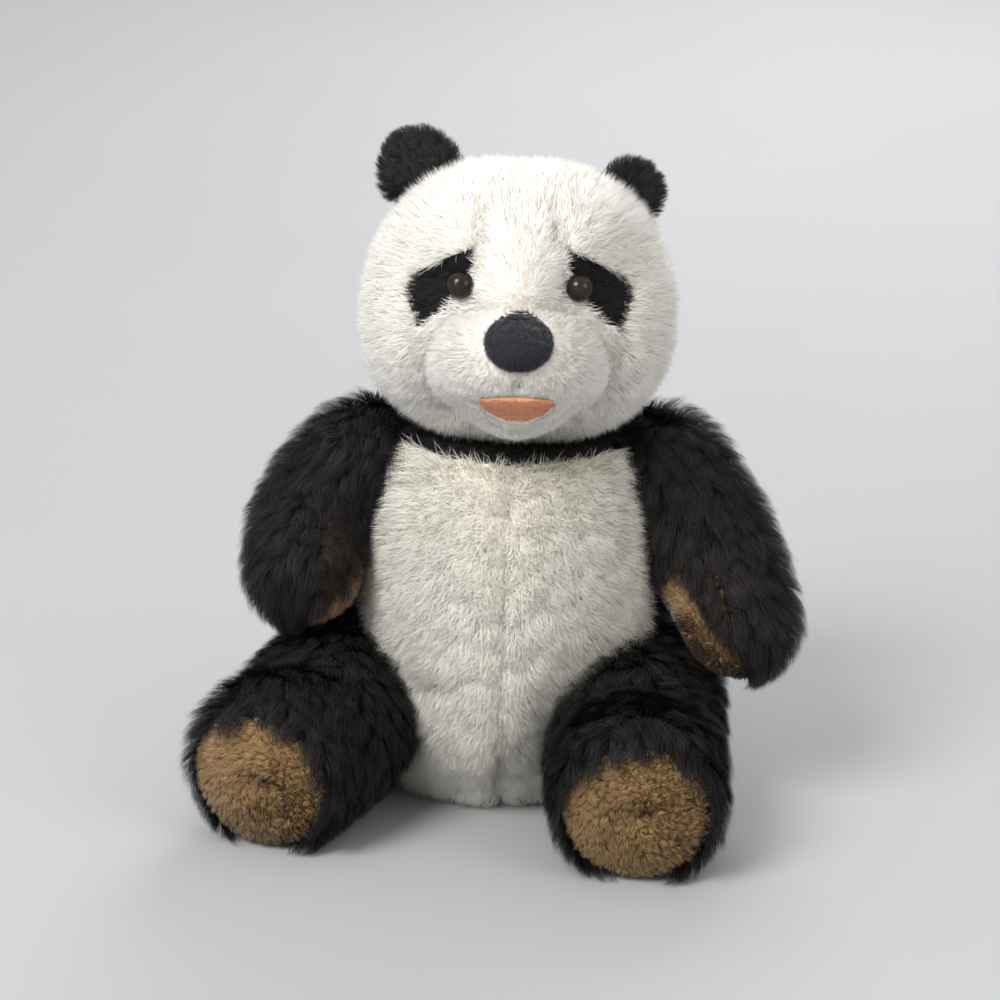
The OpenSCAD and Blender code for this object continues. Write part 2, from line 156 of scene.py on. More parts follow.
# Pile colours.
# Each fabric is a knitted backing and cut fibres. Every lock has its own shade. The three colours are the
# root, the fibre and the tip. The darker root colour is painted shade deep in the pile by the backing. Fibres
# take the
# tip colour by their own shade: on the black piles a lighter grey-brown painted sheen, on the others a
# lighter or warmer tip tone.
SHADES = {
    "white_pile": ((0.90, 0.85, 0.77), (0.96, 0.935, 0.885), (0.94, 0.91, 0.85)),
    "cream_pile": ((0.93, 0.87, 0.74), (0.97, 0.945, 0.87), (0.95, 0.91, 0.81)),
    "black_pile": ((0.0015, 0.0015, 0.0018), (0.0070, 0.0062, 0.0066), (0.046, 0.037, 0.036)),
    "short_black_pile": ((0.0015, 0.0015, 0.0018), (0.0070, 0.0068, 0.0072), (0.020, 0.018, 0.017)),
    "brown_pile": ((0.095, 0.052, 0.018), (0.340, 0.200, 0.076), (0.470, 0.300, 0.125)),
    "navy_felt": ((0.004, 0.005, 0.009), (0.010, 0.011, 0.020), (0.046, 0.047, 0.072)),
    "peach_felt": ((0.50, 0.20, 0.11), (0.84, 0.385, 0.205), (0.90, 0.54, 0.36)),
}


def fibre_paint(slot):
    """Cut fibres: the map's first axis is the fibre's own shade, and the second runs from root to tip."""
    root, body, light = SHADES[slot]
    dark = "black" in slot
    paint = Paint(slot + "_fibres", Roughness=0.62 if dark else 0.75, Sheen_Roughness=0.5,
                  Specular_IOR_Level=0.22 if dark else 0.5, Sheen_Weight=0.02 if dark else 0.2)
    place = paint.node("ShaderNodeUVMap", {"uv_map": "OFBake"}, ())
    split = paint.node("ShaderNodeSeparateXYZ", {}, (place,))
    shade, along = split, Value(paint, split.socket.node.outputs[1])
    # Darker towards the root: painted shade deep in the pile.
    root_shade_ramp = paint.mix((along * 1.6).clamped(), root, body)
    # Towards the tip, fibres take the tip colour by their own shade: painted sheen on the black piles.
    return paint.colour(paint.mix((shade ** 2.2) * along, root_shade_ramp, light))


def backing_paint(slot):
    """The knitted backing under the pile, seen only where the fibres part."""
    root, body, _ = SHADES[slot]
    paint = Paint(slot + "_backing", Roughness=0.92)
    grain = paint.noise(900.0, 3.0)
    paint.bump(grain, 0.6, 0.0006)
    # The grain mixes in the pile's darker root colour: painted shade where the fibres part.
    return paint.colour(paint.mix(grain, root, body))


FIBRES = {slot: fibre_paint(slot) for slot in SHADES}
BACKING = {slot: backing_paint(slot) for slot in SHADES}


# Covers.
# A cover is the smooth closed form that the CAD's filling and panels make together.


def mesh_object(name, points, corners, sizes, materials):
    """A mesh from flat arrays: points, corner indices, and how many corners each face has."""
    mesh = bpy.data.meshes.new(name)
    mesh.vertices.add(len(points))
    mesh.vertices.foreach_set("co", np.asarray(points, np.float32).ravel())
    mesh.loops.add(len(corners))
    mesh.loops.foreach_set("vertex_index", np.asarray(corners, np.int32))
    mesh.polygons.add(len(sizes))
    starts = np.concatenate(([0], np.cumsum(sizes)[:-1])).astype(np.int32)
    mesh.polygons.foreach_set("loop_start", starts)
    mesh.update(calc_edges=True)
    for material in materials:
        mesh.materials.append(material)
    made = bpy.data.objects.new(name, mesh)
    bpy.context.scene.collection.objects.link(made)
    return made


def corners_of(mesh):
    """(points, triangles, normals) of a mesh, as arrays."""
    points = np.empty(len(mesh.vertices) * 3, np.float32)
    mesh.vertices.foreach_get("co", points)
    normals = np.empty(len(mesh.vertices) * 3, np.float32)
    mesh.vertex_normals.foreach_get("vector", normals)
    mesh.calc_loop_triangles()
    triangles = np.empty(len(mesh.loop_triangles) * 3, np.int32)
    mesh.loop_triangles.foreach_get("vertices", triangles)
    return points.reshape(-1, 3).astype(float), triangles.reshape(-1, 3), normals.reshape(-1, 3).astype(float)


def gathered(nodes):
    """CAD nodes as one set of (points, triangles), with the node that each triangle belongs to."""
    points, triangles, owner, first = [], [], [], 0
    for index, node in enumerate(nodes):
        co, tri, _ = corners_of(frame["nodes"][node].data)
        points.append(co)
        triangles.append(tri + first)
        owner.append(np.full(len(tri), index))
        first += len(co)
    return np.concatenate(points), np.concatenate(triangles), np.concatenate(owner)


def tree_of(points, triangles):
    return BVHTree.FromPolygons(points.tolist(), triangles.tolist())


def cover(name, nodes, fineness=2.2, rounds=10, grow=0.0, shape=None):
    """Wraps CAD nodes in one closed skin, rounds off their facets and lets shape move its points."""
    points, triangles, _ = gathered(nodes)
    made = mesh_object(name, points, triangles.ravel(), np.full(len(triangles), 3), ())
    wrap = made.modifiers.new("wrap", "REMESH")
    wrap.mode, wrap.voxel_size, wrap.use_smooth_shade = "VOXEL", fineness * MM, True
    rounding = made.modifiers.new("round", "SMOOTH")
    rounding.factor, rounding.iterations = 0.5, rounds
    ready = made.evaluated_get(bpy.context.evaluated_depsgraph_get())
    mesh = bpy.data.meshes.new_from_object(ready)
    made.modifiers.clear()
    made.data = mesh
    points, _, normals = corners_of(mesh)
    points += normals * grow * MM
    if shape is not None:
        points = shape(points, normals)
    points[:, 2] = np.maximum(points[:, 2], 0.0004)
    mesh.vertices.foreach_set("co", points.astype(np.float32).ravel())
    mesh.update()
    return made


def nearest(tree, points):
    """The tree triangle and signed distance, below 0 inside, nearest each point."""
    found, distance = np.empty(len(points), int), np.empty(len(points))
    for i, p in enumerate(points):
        place, normal, index, away = tree.find_nearest(p)
        found[i] = index
        distance[i] = away if (Vector(p) - place).dot(normal) >= 0 else -away
    return found, distance


def split_by_panel(place, panels):
    """Which panel each place lies on."""
    points, triangles, owner = gathered(panels)
    return owner[nearest(tree_of(points, triangles), place)[0]]


def face_middles(skin):
    centres = np.empty(len(skin.data.polygons) * 3, np.float32)
    skin.data.polygons.foreach_get("center", centres)
    return centres.reshape(-1, 3).astype(float)


def dress(skin, panels, slots, body, split=split_by_panel):
    """Gives each face of a skin the backing of its panel, and makes the skin a padded piece of its body."""
    names = sorted(set(slots))
    for slot in names:
        skin.data.materials.append(BACKING[slot])
    chosen = np.array([names.index(s) for s in slots])[split(face_middles(skin), panels)]
    skin.data.polygons.foreach_set("material_index", chosen.astype(np.int32))
    skin.data.polygons.foreach_set("use_smooth", np.ones(len(chosen), bool))
    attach(skin, body)
    return skin


# Pile.
# Fibres stand on a skin as narrow tapered blades that lie over to the nap and draw together into locks.


def unit(v):
    return v / np.maximum(np.linalg.norm(v, axis=-1, keepdims=True), 1e-12)


def roots(skin, per_mm2):
    """Random places on a skin, evenly spread by area, with the skin's normals."""
    points, triangles, normals = corners_of(skin.data)
    a, b, c = (points[triangles[:, k]] for k in range(3))
    areas = np.linalg.norm(np.cross(b - a, c - a), axis=1) / 2
    count = int(areas.sum() * 1e6 * per_mm2 * THINNED)
    chosen = seeded.choice(len(triangles), count, p=areas / areas.sum())
    u, v = seeded.random(count), seeded.random(count)
    over = u + v > 1
    u[over], v[over] = 1 - u[over], 1 - v[over]
    weights = np.stack([1 - u - v, u, v], 1)[:, :, None]
    place = (points[triangles[chosen]] * weights).sum(1)
    facing = unit((normals[triangles[chosen]] * weights).sum(1))
    return place, facing


def tangent(way, facing):
    """The part of a way that runs along the skin, as a unit vector."""
    return unit(way - facing * (way * facing).sum(1, keepdims=True))


def pile(name, body, slot, place, facing, nap, long, lift=0.55, lock=4.5, gather=0.6, width=0.42,
         wild=0.25, joints=3, relief=1.0):
    """Grows fibres from the given roots. nap is the way each lies, long its length in mm,
    lift how far it stands up, lock the spacing of locks in mm, gather how tightly they close and relief how
    strongly the light picks them out."""
    count = len(place)
    long = (np.broadcast_to(long, count) * MM * seeded.uniform(0.75, 1.15, count))[:, None]
    nap = nap - facing * (nap * facing).sum(1, keepdims=True)
    stray = seeded.normal(size=(count, 3))
    stray -= facing * (stray * facing).sum(1, keepdims=True)
    nap = unit(unit(nap) + wild * stray)
    centre_count = max(1, int(count / max(1.0, lock * lock * count / max(1.0, cell_area(place, count)))))
    centres = seeded.choice(count, min(count, centre_count), replace=False)
    tree = KDTree(len(centres))
    for i, c in enumerate(centres):
        tree.insert(place[c], i)
    tree.balance()
    mine = centres[np.array([tree.find(p)[1] for p in place])]
    rise = lift * seeded.uniform(0.8, 1.2, (count, 1))
    tip = place + long * (facing * rise + nap * np.sqrt(np.clip(1 - rise**2, 0.05, 1)))
    lead = tip[mine]
    shade = 0.55 * seeded.random(count) + 0.45 * seeded.random(count)[mine]
    middle = place + long * (facing * (0.25 + 0.45 * rise) + nap * 0.2)
    tip = tip + (lead - tip) * gather * seeded.uniform(0.6, 1.0, (count, 1))
    rounding = (place - place[mine]) / (lock * MM)
    normal = unit(facing + relief * (0.45 * rounding + 0.18 * stray) + 0.15 * nap)
    rows, alongs = [], []
    for k in range(joints + 1):
        s = k / joints
        at = (1 - s) ** 2 * place + 2 * s * (1 - s) * middle + s * s * tip
        slope = unit(2 * (1 - s) * (middle - place) + 2 * s * (tip - middle))
        side = unit(np.cross(slope, facing) + 1e-6)
        half = 0.5 * width * MM * (1 - s) ** 0.6 * (1.0 if k else 0.8)
        rows.extend([at - side * half, at + side * half] if k < joints else [at])
        alongs.extend([s, s] if k < joints else [1.0])
    per = len(rows)
    points = np.stack(rows, 1).reshape(-1, 3)
    points[:, 2] = np.maximum(points[:, 2], 0.0004)
    quads = [[2 * k, 2 * k + 1, 2 * k + 3, 2 * k + 2] for k in range(joints - 1)]
    blade = np.array(sum(quads, []) + [2 * joints - 2, 2 * joints - 1, 2 * joints])
    corners = (np.arange(count)[:, None] * per + blade).ravel()
    sizes = np.tile([4] * (joints - 1) + [3], count)
    made = mesh_object(name, points, corners, sizes, [FIBRES[slot]])
    fan = np.stack([np.repeat(shade, per), np.tile(alongs, count)], 1)
    fan = np.clip(fan, 0.01, 0.99)
    layer = made.data.uv_layers.new(name="OFBake")
    layer.data.foreach_set("uv", fan[corners].astype(np.float32).ravel())
    made.data.polygons.foreach_set("use_smooth", np.ones(len(sizes), bool))
    made.data.normals_split_custom_set_from_vertices(np.repeat(normal, per, 0).astype(np.float32))
    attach(made, body)
    return made


def cell_area(place, count):
    """Roughly the area in mm2 that the roots cover, from how many 4 mm cells they fall in."""
    cells = np.unique(np.floor(place / (4 * MM)).astype(int), axis=0)
    return len(cells) * 16.0 * 0.8


# Head cover.
# The head is a ball of stuffing in white plush: a gusset over the crown, two face panels, a back and a
# throat. It swells into brows over the eyes and full cheeks, and the muzzle is sewn into a groove.


def mm(x, y, z):
    return np.array([x, y, z], float) * MM


def middle_of(node):
    low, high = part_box(node)
    return np.array((low + high) / 2)


def bulge(points, normals, centre, radius, height):
    """Swells points out along their normals, most at the centre."""
    away = np.linalg.norm((points - centre) / (np.asarray(radius) * MM), axis=1)
    return points + normals * (height * MM * np.exp(-away**2))[:, None]


HEAD = ["forehead_gusset", "face_panel_right", "face_panel_left", "back_of_head", "throat_panel"]
PATCHES = ["eye_patch_right", "eye_patch_left"]
EYES = {}
for side in ("right", "left"):
    dome, _, _ = corners_of(frame["nodes"]["eye_" + side].data)
    EYES[side] = dome[dome[:, 1] < dome[:, 1].min() + 4 * MM].mean(0)
FACE = middle_of("muzzle_panel")
SKULL = middle_of("head_filling")


def muzzle_reach(places):
    """How far places lie from the muzzle's middle as seen from the front, 1 at its seam."""
    low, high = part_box("muzzle_panel")
    return np.linalg.norm((places - FACE)[:, [0, 2]] / [(high.x - low.x) / 2, (high.z - low.z) / 2], axis=1)


def head_shape(points, normals):
    """Brows, the tucks beside them, sockets and cheeks; then the bridge, the crown seam and the muzzle's."""
    for eye in EYES.values():
        toward = np.sign(eye[0] - FACE[0])
        points = bulge(points, normals, eye + mm(4 * toward, 4, 25), (21, 30, 14), 11.0)
        points = bulge(points, normals, eye + mm(-9.5 * toward, 4, 20), (4, 26, 15), -5.0)
        points = bulge(points, normals, eye + mm(5 * toward, 4, 0), (15, 22, 12), -3.0)
        points = bulge(points, normals, eye + mm(26 * toward, 26, -46), (30, 36, 26), 6.0)
    bridge = np.array([FACE[0], EYES["left"][1] - 0.004, EYES["left"][2] - 0.006])
    points = bulge(points, normals, bridge, (13, 26, 24), 7.0)
    points = bulge(points, normals, SKULL + mm(0, -20, 58), (9, 40, 16), -3.0)
    groove = np.exp(-(((muzzle_reach(points) - 1.06) / 0.13) ** 2)) * (points[:, 1] < SKULL[1])
    below_bridge = np.clip((FACE[2] + 0.012 - points[:, 2]) / 0.012, 0, 1)
    return points - normals * (3.0 * MM * groove * below_bridge)[:, None]


head_cover = cover("head_cover", ["head_filling", *HEAD], shape=head_shape)
dress(head_cover, HEAD, ["white_pile"] * 5, "head")
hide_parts("head_filling")
head_cover.data.materials.append(BACKING["short_black_pile"])


# The patch as it shows, from its inner top round to its lower edge: mm outwards from the eye and up.
PATCH = ((-9.5, 16.5), (3, 11), (18, 2), (20.5, -6), (14.5, -23), (6, -13), (-5, -5))


def on_patch(side, place):
    """Which places lie on an eye patch: a drooping strip with the white pile closing over its edges."""
    toward = -1 if side == "right" else 1
    out, up = (place[:, 0] - EYES[side][0]) * toward / MM, (place[:, 2] - EYES[side][2]) / MM
    inside = place[:, 1] < SKULL[1]
    for (x0, z0), (x1, z1) in zip(PATCH, PATCH[1:] + PATCH[:1]):
        inside &= (x1 - x0) * (up - z0) - (z1 - z0) * (out - x0) < 0
    return inside


patched = on_patch("right", face_middles(head_cover)) | on_patch("left", face_middles(head_cover))
head_cover.data.polygons.foreach_set("material_index", patched.astype(np.int32))

# Head pile.
# White 9 mm pile, brushed outwards from the muzzle and down over the cheeks and the back. The two eye patches
# are appliqués of short black pile. No fibres grow where the muzzle is sewn on or in front of the eyes.
DOWN = np.array([0.0, 0.0, -1.0])
EYE_EDGE = 0.0092
place, facing = roots(head_cover, 3.4)
crease = np.where(place[:, 1] < SKULL[1], muzzle_reach(place) - 1, 9.0) * 26
keep = crease > 0
place, facing, crease = place[keep], facing[keep], crease[keep]
panel = split_by_panel(place, HEAD)
for index, side in enumerate(("right", "left")):
    panel[on_patch(side, place)] = len(HEAD) + index
eye_gap = np.min([np.linalg.norm(place - eye, axis=1) for eye in EYES.values()], axis=0)
from_eye = place - np.where(
    (np.linalg.norm(place - EYES["right"], axis=1) < np.linalg.norm(place - EYES["left"], axis=1))[:, None],
    EYES["right"], EYES["left"])
behind = np.clip((place[:, 1:2] - SKULL[1]) / (25 * MM), 0, 1)
nap = (1 - behind) * tangent(place - middle_of("nose"), facing)
nap = unit(nap + (0.45 + behind) * tangent(np.tile(DOWN, (len(place), 1)), facing))
away_from_eye = np.exp(-((eye_gap / (20 * MM)) ** 2))[:, None] * tangent(from_eye, facing)
nap = unit(nap + np.where(place[:, 2:3] > EYES["left"][2] - 0.004, 0.2, 0.9) * away_from_eye)
reach = 9.0 * np.clip(0.45 + (eye_gap / MM - 7) / 18, 0.4, 1.0) * np.clip(0.32 + crease / 13, 0.32, 1.0)
for side in ("right", "left"):
    ear_gap = np.linalg.norm(place - middle_of("ear_front_" + side), axis=1)
    reach *= 1 + 0.45 * np.exp(-((ear_gap / (24 * MM)) ** 2))
for index, node in enumerate(HEAD):
    mine = (panel == index) & (eye_gap > 0.0062)
    tuft = pile(node + "_pile", "head", "white_pile", place[mine], facing[mine], nap[mine], reach[mine],
                lift=0.85, lock=6.5, gather=0.20, width=0.28, wild=0.65, joints=2, relief=0.5)
    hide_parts(node)
for index, node in enumerate(PATCHES):
    mine = (panel == index + len(HEAD)) & (eye_gap > 0.0056)
    toward = unit(from_eye[mine] * np.where(eye_gap[mine] < EYE_EDGE, -1, 1)[:, None] + 3 * MM * DOWN)
    long = np.where(eye_gap[mine] < EYE_EDGE, 6.5, 5.0)
    tuft = pile(node + "_pile", "head", "short_black_pile", place[mine], facing[mine], toward, long,
                lift=0.72, lock=3.0, gather=0.3, width=0.26, wild=0.4, joints=2)
    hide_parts(node)

# Muzzle.
# A separate stuffed dome of shorter white pile, sewn to the face; its fibres lie outwards from the nose.
NOSE, MOUTH = middle_of("nose"), middle_of("mouth")


def muzzle_shape(points, normals):
    """Full lips either side of a seam from nose to mouth, drawn in below to a narrow round chin."""
    for toward in (-1, 1):
        points = bulge(points, normals, MOUTH + mm(15 * toward, 4, 12), (11, 20, 11), 3.0)
        points = bulge(points, normals, MOUTH + mm(27 * toward, 8, -7), (12, 26, 12), -4.5)
    points = bulge(points, normals, MOUTH + mm(0, 2, -11), (12, 16, 8), 4.5)
    return bulge(points, normals, (NOSE + MOUTH) / 2, (2.2, 20, 9), -2.6)


muzzle_cover = cover("muzzle_cover", ["muzzle_filling", "muzzle_panel"], fineness=1.4, rounds=8, grow=1.7,
                     shape=muzzle_shape)
dress(muzzle_cover, ["muzzle_panel"], ["white_pile"], "head")
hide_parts("muzzle_filling")
place, facing = roots(muzzle_cover, 5.0)
_, buried = nearest(tree_of(*gathered(["head_filling"])[:2]), place)
bare = np.linalg.norm((place - NOSE) / mm(14, 40, 10.6), axis=1) < 1
lip = (place - MOUTH - mm(0, 0, 4.5)) / MM
bare |= np.linalg.norm(lip / np.where(lip[:, 2:3] > 0, [16, 30, 3.2], [16, 30, 10.5]), axis=1) < 1
keep = (buried > -0.002) & ~bare
place, facing = place[keep], facing[keep]
nose_gap = np.linalg.norm((place - NOSE) / mm(14, 40, 10.6), axis=1) - 1
lip_gap = np.linalg.norm((place - MOUTH - mm(0, 0, 2)) / mm(16, 40, 9), axis=1) - 1
depth = np.clip(np.minimum(nose_gap, lip_gap), 0, 1)
nap = unit(unit(place - NOSE) + 0.5 * DOWN * np.clip((place[:, 2:3] - MOUTH[2]) / (NOSE[2] - MOUTH[2]), 0, 1))
tuft = pile("muzzle_panel_pile", "head", "white_pile", place, facing, nap, 2.4 + 4.0 * depth,
            lift=0.82, lock=4.0, gather=0.2, width=0.20, wild=0.55, joints=2, relief=0.55)
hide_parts("muzzle_panel")

# Nose and mouth.
# Stuffed appliqués of brushed felt, dark navy for the nose and peach for the mouth, with loose fibres on
# their faces. Each follows the stuffed muzzle that it is sewn to.


def front(tree, place):
    """How far forward a surface lies in front of each place."""
    hits = [tree.ray_cast(Vector((x, -1, z)), Vector((0, 1, 0)))[0] for x, _, z in place]
    return np.array([p[1] if hit is None else hit.y for hit, p in zip(hits, place)])


SEWN_TO = tree_of(*corners_of(muzzle_cover.data)[:2])
CUT_FOR = tree_of(*gathered(["muzzle_panel"])[:2])


def laid_on_muzzle(points, normals):
    """Keeps a piece's thickness while it follows the stuffed muzzle."""
    points[:, 1] += front(SEWN_TO, points) - front(CUT_FOR, points) - 0.8 * MM
    return points


def lips(points, normals):
    """A flat upper edge and a deep, round lower lip."""
    thick = points[:, 1] - front(CUT_FOR, points)
    t = np.clip((points[:, 2] - MOUTH[2]) / (7.5 * MM), -1, 1)
    points[:, 0] = MOUTH[0] + 1.13 * (points[:, 0] - MOUTH[0])
    points[:, 2] = MOUTH[2] + (4.5 + np.where(t > 0, 3.0, 10.5) * t) * MM
    points[:, 1] = front(SEWN_TO, points) + thick - 0.8 * MM
    return points


for node, slot, fuzz, shape in (("nose", "navy_felt", 0.9, laid_on_muzzle),
                                ("mouth", "peach_felt", 0.6, lips)):
    felt = cover(node + "_felt", [node], fineness=0.7, rounds=6, shape=shape)
    dress(felt, [node], [slot], "head")
    place, facing = roots(felt, 6.0)
    tuft = pile(node + "_nap", "head", slot, place, facing, seeded.normal(size=place.shape), fuzz * 2.2,
                lift=0.35, lock=2.5, gather=0.2, width=0.16, wild=0.8, joints=2)
    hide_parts(node)
    tuft.parent = felt
    tuft.matrix_parent_inverse.identity()

# Ears.
# Two-layer ears of black pile, a back and a cupped front, with their base edges caught in the head seam.
for side in ("right", "left"):
    nodes = ["ear_back_" + side, "ear_front_" + side]
    hinge = next(j for j in frame["joints"] if j["name"] == side + "_ear_flex")
    seam = np.array(hinge["pos_m"])
    lean = np.array(Matrix.Rotation(math.radians(-12 if side == "right" else -34), 3, Vector(hinge["axis"])))

    def ear_shape(points, normals):
        """Leans the ear back on its seam and draws its root into the head's pile."""
        points = (points - seam) @ lean.T * (1.0 if side == "right" else 0.86)
        return seam + points + unit(SKULL - seam) * (2.5 if side == "right" else 4.0) * MM

    ear = cover(f"ear_cover_{side}", nodes, fineness=1.3, rounds=6, grow=2.2 if side == "right" else 1.0,
                shape=ear_shape)
    dress(ear, nodes, ["black_pile"] * 2, side + "_ear")
    place, facing = roots(ear, 4.5)
    panel = split_by_panel(place, nodes)
    centre = middle_of(nodes[0])
    up = unit(centre - SKULL) + 0.8 * unit(place - (centre - 0.012 * unit(centre - SKULL)))
    for index, node in enumerate(nodes):
        mine = panel == index
        tuft = pile(node + "_pile", side + "_ear", "black_pile", place[mine], facing[mine], up[mine],
                    (6.0, 5.0)[index], lift=0.7, lock=3.2, gather=0.55, width=0.28, wild=0.5, joints=2)
        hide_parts(node)

# Torso.
# A pear of stuffing in eight panels: a cream belly in two halves, a black yoke, sides and upper back, and a
# white lower back and seat. All the pile is brushed down, and parts along the front seam.
TORSO = {"belly_panel_right": "cream_pile", "belly_panel_left": "cream_pile", "chest_yoke": "black_pile",
         "side_panel_right": "black_pile", "side_panel_left": "black_pile", "upper_back_panel": "black_pile",
         "lower_back_panel": "white_pile", "seat_panel": "white_pile"}
NECK = middle_of("neck_filling")


def torso_shape(points, normals):
    """Full shoulders, a belly that tucks under, a fuller left flank and the seam down the front."""
    for side in (-1, 1):
        points = bulge(points, normals, NECK + mm(38 * side, 0, -20), (22, 26, 20), 8.0)
    low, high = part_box("torso_filling")
    lap = np.array([(low.x + high.x) / 2, low.y + 0.006, 0.008])
    points = bulge(points, normals, lap, (60, 26, 22), -9.0)
    flank = np.array([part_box("side_panel_left")[1].x - 0.004, 0.0, 0.085])
    points = bulge(points, normals, flank, (20, 32, 26), 9.0)
    seam = np.exp(-((points[:, 0] - middle_of("torso_filling")[0]) / (5 * MM)) ** 2) * (points[:, 1] < -0.03)
    return points - normals * (2.5 * MM * seam)[:, None]


EDGE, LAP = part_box("chest_yoke")[0].z, 0.009


def split_torso(place, panels):
    """Which panel each place lies on, where the cream panels' top edge laps over the yoke."""
    lapped = (np.abs(place[:, 2:3] - EDGE) < 0.03) & (place[:, 1:2] < 0)
    return split_by_panel(place - [0, 0, LAP] * lapped, panels)


torso_cover = cover("torso_cover", ["torso_filling", *TORSO], fineness=2.6, rounds=8, shape=torso_shape)
dress(torso_cover, list(TORSO), list(TORSO.values()), "torso", split_torso)
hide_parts("torso_filling")
place, facing = roots(torso_cover, 3.5)
panel = split_torso(place, list(TORSO))
centre = middle_of("torso_filling")
seam = np.abs(place[:, 0] - centre[0])
parting = np.sign(place[:, 0] - centre[0]) * 0.55 * np.exp(-((seam / (16 * MM)) ** 2))
nap = unit(DOWN + 0.35 * facing * [1, 1, 0])
nap[:, 0] += np.where(place[:, 1] < 0, parting, 0)
free = (place[:, 2] > 0.006) | (facing[:, 2] > -0.5)
sparse = seeded.random(len(place)) < 0.64
for index, (node, slot) in enumerate(TORSO.items()):
    if node.startswith("belly"):
        mine = (panel == index) & free
        long = 10.0 * np.clip(0.6 + seam[mine] / MM / 14, 0.6, 1.0)
        tuft = pile(node + "_pile", "torso", slot, place[mine], facing[mine], nap[mine], long,
                    lift=0.84, lock=8.0, gather=0.2, width=0.24, wild=0.7, joints=2, relief=0.5)
    else:
        mine = (panel == index) & free & sparse
        over = (place[mine, 2] - EDGE - LAP) / MM
        long = 12.0 * (np.clip(0.3 + over / 22, 0.3, 1.0) if node == "chest_yoke" else 1.0)
        tuft = pile(node + "_pile", "torso", slot, place[mine], facing[mine], nap[mine], long,
                    lift=0.5, lock=5.5, gather=0.5, width=0.28, wild=0.4,
                    relief=1.0 if "black" in slot else 0.55)
    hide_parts(node)

# Tail.
# A stuffed stub of white pile, sewn to the lower back.
tail = cover("tail_cover", ["tail"], fineness=1.5, rounds=6)
dress(tail, ["tail"], ["white_pile"], "torso")
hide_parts("tail")
place, facing = roots(tail, 3.6)
pile("tail_pile", "torso", "white_pile", place, facing, unit(0.5 * DOWN + facing), 9.0, lift=0.8, lock=6.0,
     gather=0.2, width=0.24, wild=0.7, joints=2, relief=0.55)

# Neck and shoulders.
# Balls of stuffing inside the collar and the armholes, where the head and arms turn. Each is covered in the
# pile that closes the joint.
for node, body, slot in (("neck_filling", "neck", "white_pile"),
                         ("shoulder_filling_right", "right_shoulder", "black_pile"),
                         ("shoulder_filling_left", "left_shoulder", "black_pile")):
    ball = cover(node + "_cover", [node], fineness=2.0, rounds=4)
    dress(ball, [node], [slot], body)
    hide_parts(node)
    place, facing = roots(ball, 0.9)
    pile(node + "_pile", body, slot, place, facing, unit(DOWN + 0.2 * facing), 9.0, lift=0.45, lock=5.0)

# Arms and legs.
# Black shaggy pile in an outer and an inner panel, over stuffing, with a pad of short brown plush let into
# the paw or the sole. The pile runs from the shoulder or hip towards the paw and hangs.
for side in ("right", "left"):
    for limb, pad in (("arm", "palm_pad"), ("leg", "sole_pad")):
        nodes = [f"{limb}_outer_panel_{side}", f"{limb}_inner_panel_{side}", f"{pad}_{side}"]
        slots = ["black_pile", "black_pile", "brown_pile"]
        body = f"{side}_{limb}"
        pad_at = middle_of(nodes[2])
        root_at = middle_of(f"shoulder_filling_{side}" if limb == "arm" else f"leg_filling_{side}")
        if limb == "leg":
            root_at[1] = 0.0
        inward = -1 if side == "left" else 1

        def limb_shape(points, normals):
            """A round shoulder and full forearm, or a full thigh, a tuck at the ankle and a puckered sole."""
            if limb == "arm":
                points = bulge(points, normals, root_at + mm(6 * inward, -4, 10), (24, 24, 20), 6.0)
                inside = 0.35 * root_at + 0.65 * pad_at + mm(14 * inward, 0, 0)
                return bulge(points, normals, inside, (18, 34, 26), 2.0 if side == "right" else 9.0)
            thigh = root_at + mm(14 * inward, 0, 10) + [0, 0.55 * pad_at[1], 0]
            points = bulge(points, normals, thigh, (30, 36, 40), 11.0 if side == "right" else 4.0)
            ankle = 0.35 * root_at + 0.65 * pad_at + mm(0, 0, 34)
            points = bulge(points, normals, ankle, (26, 12, 20), -5.0)
            points = bulge(points, normals, pad_at + mm(0, 10, 34), (30, 12, 16), 4.5)
            points = bulge(points, normals, pad_at, (7, 20, 6), -4.5)
            return bulge(points, normals, pad_at + mm(9 * inward, 0, -8), (3, 20, 16), -3.0)

        skin = cover(f"{limb}_cover_{side}", [f"{limb}_filling_{side}", *nodes], fineness=2.2, rounds=7,
                     shape=limb_shape)
        dress(skin, nodes, slots, body)
        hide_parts(f"{limb}_filling_{side}")
        place, facing = roots(skin, 2.1)
        panel = split_by_panel(place, nodes)
        if limb == "arm":
            palm = unit(facing[panel == 2].mean(0))
            sewn_round = 0.62 if side == "right" else 0.30
            panel[(panel == 2) & (facing @ palm < sewn_round)] = 1
        along = unit(pad_at - root_at)
        nap = unit(along * (0.8 if limb == "arm" else 0.55) + 0.6 * DOWN + 0.2 * facing)
        free = (place[:, 2] > 0.006) | (facing[:, 2] > -0.5)
        for index, node in enumerate(nodes[:2]):
            mine = (panel == index) & free
            tuft = pile(node + "_pile", body, "black_pile", place[mine], facing[mine], nap[mine], 13.5,
                        lift=0.55, lock=6.0, gather=0.66, width=0.28, wild=0.35)
            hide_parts(node)
        place, facing = roots(skin, 4.2)
        panel = split_by_panel(place, nodes)
        mine = panel == 2
        if limb == "arm":
            mine &= facing @ palm > sewn_round - 0.10
        swirl = np.cross(facing[mine], place[mine] - pad_at) + 0.5 * (place[mine] - pad_at)
        tuft = pile(nodes[2] + "_pile", body, "brown_pile", place[mine], facing[mine], unit(swirl), 4.2,
                    lift=0.8, lock=2.4, gather=0.6, width=0.32, wild=0.7, joints=2)
        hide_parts(nodes[2])

